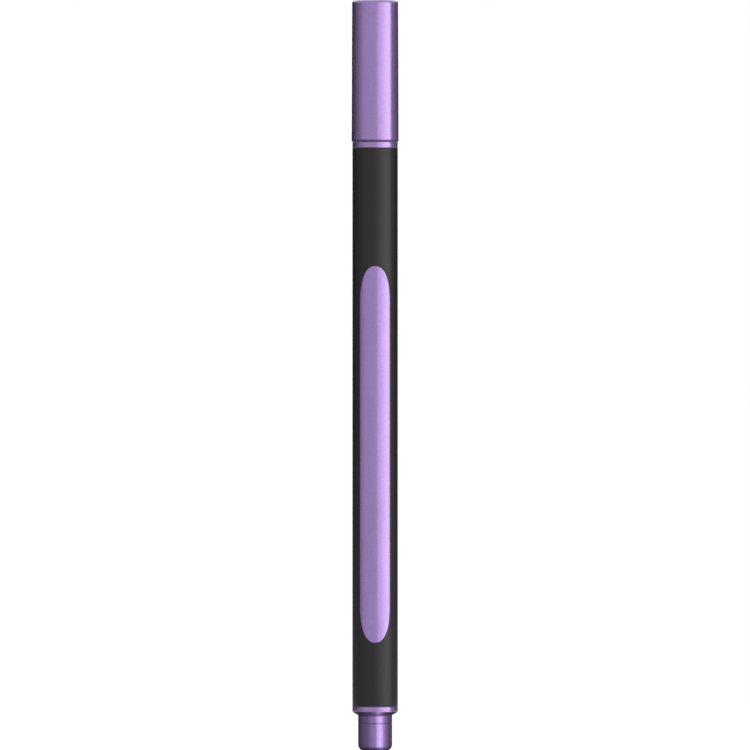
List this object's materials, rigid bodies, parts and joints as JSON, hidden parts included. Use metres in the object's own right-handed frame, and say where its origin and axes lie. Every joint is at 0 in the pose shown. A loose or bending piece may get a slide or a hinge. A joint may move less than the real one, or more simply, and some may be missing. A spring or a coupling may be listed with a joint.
{
  "type": "marker pen",
  "caption": "slim capped fibre-tip marker with metallic ink, black barrel with a long purple panel, purple pull-off cap, collar ring and rear posting stub",
  "frame": {"origin": "centre of the flat end face of the rear plug, which the marker stands on", "axes": "+Z along the marker's axis towards the closed end of the cap, -Y out of the middle of the colour panel"},
  "size_m": [0.0094, 0.0094, 0.149],
  "materials": {
    "black_plastic": "satin black extruded plastic with faint draw lines along it",
    "metallic_plastic": "purple plastic with fine metallic flake under a satin gloss skin",
    "nib_fibre": "bonded fibre stained by metallic purple ink",
    "ink_fibre": "fibre rod soaked with ink",
    "clear_film": "thin pale film",
    "natural_plastic": "unpigmented soft plastic"
  },
  "bodies": {
    "pen": {"barrel": "black_plastic", "colour_panel": "metallic_plastic", "front_section": "metallic_plastic", "nib": "nib_fibre", "ink_reservoir": "ink_fibre", "reservoir_film": "clear_film", "end_plug": "metallic_plastic"},
    "cap": {"cap_shell": "metallic_plastic", "inner_cap": "natural_plastic"}
  },
  "joints": [
    {"name": "cap_pull", "type": "slide", "parent": "pen", "child": "cap", "axis": [0, 0, 1], "range_m": [0, 0.035]}
  ]
}
